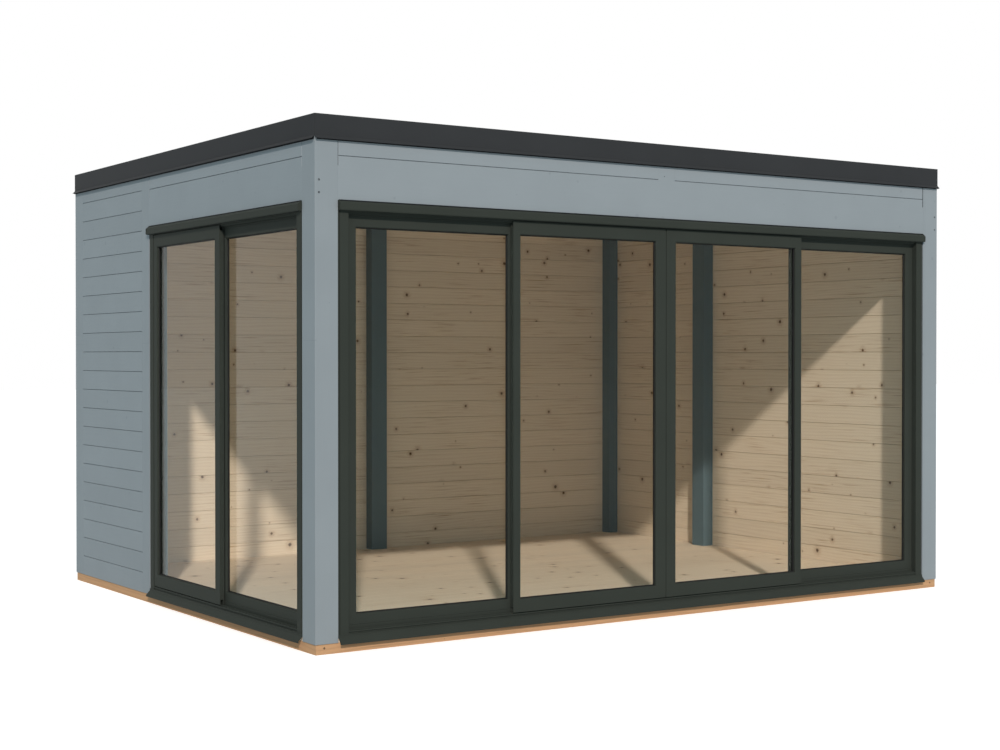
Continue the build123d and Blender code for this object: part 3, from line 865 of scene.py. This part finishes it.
class POD_OT_joints(bpy.types.Operator):
    """Seal the joints of the front lintel and the rain caps with dark sealant that also stands in for the
    shade in them, and fit a black strip behind the roof trim's drip as painted shade
    """

    bl_idname = "pod.joints"
    bl_label = "Seal joints and paint shade"

    def execute(self, context):
        self.seal_and_shade_lintel_ends(rubber("Joint sealant and shade", (0.030, 0.034, 0.037), 0.8))
        # black material: sealant at the rain caps, and painted shade behind the trim's drip
        black_sealant_and_shade = rubber("Black sealant and painted shade", (0.009, 0.010, 0.011), 0.9)
        self.seal_and_shade_cap_tops(black_sealant_and_shade)
        self.shade_strip_under_trim(black_sealant_and_shade)
        return {"FINISHED"}

    def seal_and_shade_lintel_ends(self, sealant):
        """Thin dark sealant strip in the upright joint at each end of the front lintel; its dark colour
        also stands in for the shade in the joint's gap.
        """
        width = 0.0032
        depth = 0.0025
        length = 0.161
        left_low, left_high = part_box("front_left_post")
        right_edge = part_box("front_right_post")[0][0]
        front = left_low[1] + depth
        top = left_high[2]
        builder = bmesh.new()
        for start in (left_high[0], right_edge - width):
            add_bar(
                builder, (start, front, top - length), (start + width, front + depth, top),
                round_edges=0.0004,
            )
        finish_piece(builder, "lintel_joints", sealant, "cabin")

    def seal_and_shade_cap_tops(self, sealant):
        """Rounded black bead between each lintel and the cap under it: sealant, whose black also stands
        in for the shade in the gap there.
        """
        reach = 0.0075
        rise = 0.0030
        fall = 0.0045
        foot = 0.0009
        short_of_end = 0.003
        steps = 4
        builder = bmesh.new()
        for door, deep in (("front", 1), ("side", 0)):
            cap_low, cap_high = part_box(f"{door}_door_rain_cap")
            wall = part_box(f"{door}_lintel")[0][deep]
            top = cap_high[2]
            section = [(0.0, top - foot)]
            for step in range(steps + 1):
                angle = math.radians(90 * step / steps)
                level = top + rise * math.cos(angle) - fall * (1 - math.cos(angle))
                section.append((reach * math.sin(angle), level))
            start = cap_low[1 - deep] + short_of_end
            stop = cap_high[1 - deep] - short_of_end
            corners = [
                (start, wall - out, level) if deep == 1 else (wall - out, start, level)
                for out, level in section
            ]
            outline = builder.faces.new([builder.verts.new(corner) for corner in corners])
            grown = bmesh.ops.extrude_face_region(builder, geom=[outline])["geom"]
            bmesh.ops.translate(
                builder, vec=(stop - start, 0, 0) if deep == 1 else (0, stop - start, 0),
                verts=[item for item in grown if isinstance(item, bmesh.types.BMVert)],
            )
        finish_piece(builder, "cap_sealant_and_shade", sealant, "cabin")

    def shade_strip_under_trim(self, sealant):
        """Black strip behind the drip edge of the roof trim, on all four sides, open at the corners:
        painted shade under the drip.
        """
        thick = 0.005
        corner = 0.010
        below_trim = 0.003
        behind_trim = 0.009
        post_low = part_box("front_left_post")[0]
        trim_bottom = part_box("front_roof_trim")[0][2]
        wide = -post_low[0]
        deep = -post_low[1]
        low = trim_bottom - below_trim
        high = trim_bottom + behind_trim
        builder = bmesh.new()
        for side in (-1, 1):
            near, far = sorted((side * deep, side * (deep + thick)))
            end = wide - corner
            add_bar(builder, (-end, near, low), (end, far, high), round_edges=0.001)
            near, far = sorted((side * wide, side * (wide + thick)))
            end = deep - corner
            add_bar(builder, (near, -end, low), (far, end, high), round_edges=0.001)
        finish_piece(builder, "trim_shade_strip", sealant, "cabin")


class POD_OT_screws(bpy.types.Operator):
    """Drive the screws of the corner posts, the top boards and the base beams"""

    bl_idname = "pod.screws"
    bl_label = "Add screws"

    def execute(self, context):
        diameter = context.scene.pod.screw
        builder = bmesh.new()
        self.screw_posts(builder, diameter)
        self.screw_top_boards(builder, 0.5 * diameter)
        self.screw_base(builder, diameter)
        finish_piece(builder, "screws", dark_steel("Screw steel"), "cabin")
        return {"FINISHED"}

    def screw_posts(self, builder, diameter):
        """Two screws near the outer edge of each corner post, the upper ones a little uneven."""
        from_edge = 0.021
        upper_left = 0.234
        upper_right = 0.217
        lower = 0.293
        for node in CORNER_POSTS:
            low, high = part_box(node)
            left = low[0] < 0
            face = low[1] if low[1] < 0 else high[1]
            outward = (0, -1, 0) if low[1] < 0 else (0, 1, 0)
            edge = low[0] + from_edge if left else high[0] - from_edge
            for below_top in (upper_left if left else upper_right, lower):
                add_screw(builder, (edge, face, high[2] - below_top), outward, diameter)

    def screw_top_boards(self, builder, diameter):
        """Small screw near the middle of the front."""
        off_centre = -0.015
        below_top = 0.098
        low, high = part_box("front_top_boards")
        add_screw(builder, (off_centre, low[1], high[2] - below_top), (0, -1, 0), diameter)

    def screw_base(self, builder, diameter):
        """One screw at each end of the front and back base beams."""
        from_end = 0.044
        low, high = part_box("long_base_beams")
        level = 0.6 * high[2]
        for side in (-1, 1):
            for face, outward in ((low[1], (0, -1, 0)), (high[1], (0, 1, 0))):
                add_screw(builder, (side * (high[0] - from_end), face, level), outward, diameter)


class POD_OT_stage(bpy.types.Operator):
    """Set up the pale floor, the soft light and the camera"""

    bl_idname = "pod.stage"
    bl_label = "Set stage"

    def execute(self, context):
        scene = context.scene
        scene.view_settings.view_transform = "Standard"
        self.make_ground(scene)
        self.make_world(scene)
        self.make_key_light(scene)
        self.make_camera(scene)
        return {"FINISHED"}

    def make_ground(self, scene):
        """Wide pale floor that keeps the object's shadow."""
        half_width = 60
        glow = 0.56
        builder = bmesh.new()
        bmesh.ops.create_grid(builder, x_segments=1, y_segments=1, size=half_width)
        mesh = bpy.data.meshes.new("ground")
        builder.to_mesh(mesh)
        builder.free()
        ground = bpy.data.objects.new("ground", mesh)
        scene.collection.objects.link(ground)
        material, tree, shader, place = start_material("Pale ground")
        shade = weighted_sum(tree, 0.79, (noise(tree, place, 3.0), 0.02))
        finish_surface(tree, shader, grey(tree, shade), 0.9)
        path = add_node(tree, "ShaderNodeLightPath").outputs
        seen = math_node(tree, "MAXIMUM", path["Is Camera Ray"], path["Is Glossy Ray"])
        shader.inputs["Emission Color"].default_value = (1.0, 0.95, 0.92, 1.0)
        tree.links.new(math_node(tree, "MULTIPLY", seen, glow), shader.inputs["Emission Strength"])
        mesh.materials.append(material)

    def make_world(self, scene):
        """Soft even light from all round, white where it is seen or reflected."""
        sky = (0.25, 0.382, 0.434, 1.0)
        white = (1.0, 1.0, 1.0, 1.0)
        world = bpy.data.worlds.new("Studio")
        scene.world = world
        world.use_nodes = True
        tree = world.node_tree
        background = tree.nodes["Background"]
        path = add_node(tree, "ShaderNodeLightPath").outputs
        seen = math_node(tree, "MAXIMUM", path["Is Camera Ray"], path["Is Glossy Ray"])
        seen = math_node(tree, "MAXIMUM", seen, path["Is Transmission Ray"])
        tree.links.new(mix_colour(tree, seen, sky, white), background.inputs["Color"])
        background.inputs["Strength"].default_value = 1.0

    def make_key_light(self, scene):
        """Soft key light from the front left, thirty-one degrees up."""
        on_ground = 0.857
        travel = Vector((0.49 * on_ground, 0.87 * on_ground, -0.515))
        lamp = bpy.data.lights.new("key", "SUN")
        lamp.energy = 2.42
        lamp.color = (1.0, 0.91, 0.86)
        lamp.angle = math.radians(2.5)
        key = bpy.data.objects.new("key", lamp)
        key.rotation_euler = travel.to_track_quat("-Z", "Y").to_euler()
        scene.collection.objects.link(key)

    def make_camera(self, scene):
        """Camera at the front left corner, a little above chest height."""
        heading = 33.807
        dip = 0.62
        lens = bpy.data.cameras.new("camera")
        lens.sensor_width = 36.0
        lens.lens = 60.33
        camera = bpy.data.objects.new("camera", lens)
        camera.location = (-5.7024, -8.5234, 1.3871)
        camera.rotation_euler = (math.radians(90 - dip), 0, -math.radians(heading))
        scene.collection.objects.link(camera)
        scene.camera = camera


class POD_PT_panel(bpy.types.Panel):
    """Lists the pod's steps"""

    bl_idname = "POD_PT_panel"
    bl_label = "Garden Office Pod"
    bl_space_type = "VIEW_3D"
    bl_region_type = "UI"
    bl_category = "Pod"

    def draw(self, context):
        layout = self.layout
        settings = context.scene.pod
        for name in PodSettings.__annotations__:
            layout.prop(settings, name)
        for step in STEPS:
            layout.operator(step.bl_idname)


STEPS = (
    POD_OT_timber,
    POD_OT_walls,
    POD_OT_base,
    POD_OT_floor,
    POD_OT_roof,
    POD_OT_profiles,
    POD_OT_glass,
    POD_OT_seals,
    POD_OT_joints,
    POD_OT_screws,
    POD_OT_stage,
)


def register():
    """Register the settings, the steps and the panel."""
    bpy.utils.register_class(PodSettings)
    for step in STEPS:
        bpy.utils.register_class(step)
    bpy.utils.register_class(POD_PT_panel)
    bpy.types.Scene.pod = bpy.props.PointerProperty(type=PodSettings)


def unregister():
    """Remove the settings, the steps and the panel."""
    del bpy.types.Scene.pod
    bpy.utils.unregister_class(POD_PT_panel)
    for step in reversed(STEPS):
        bpy.utils.unregister_class(step)
    bpy.utils.unregister_class(PodSettings)


def main():
    """Dress the pod."""
    register()
    make_softwood_group()
    make_brushed_paint_group()
    make_powder_coat_group()
    bpy.ops.pod.timber()
    bpy.ops.pod.walls()
    bpy.ops.pod.base()
    bpy.ops.pod.floor()
    bpy.ops.pod.roof()
    bpy.ops.pod.profiles()
    bpy.ops.pod.glass()
    bpy.ops.pod.seals()
    bpy.ops.pod.joints()
    bpy.ops.pod.screws()
    bpy.ops.pod.stage()


if __name__ == "__main__":
    main()
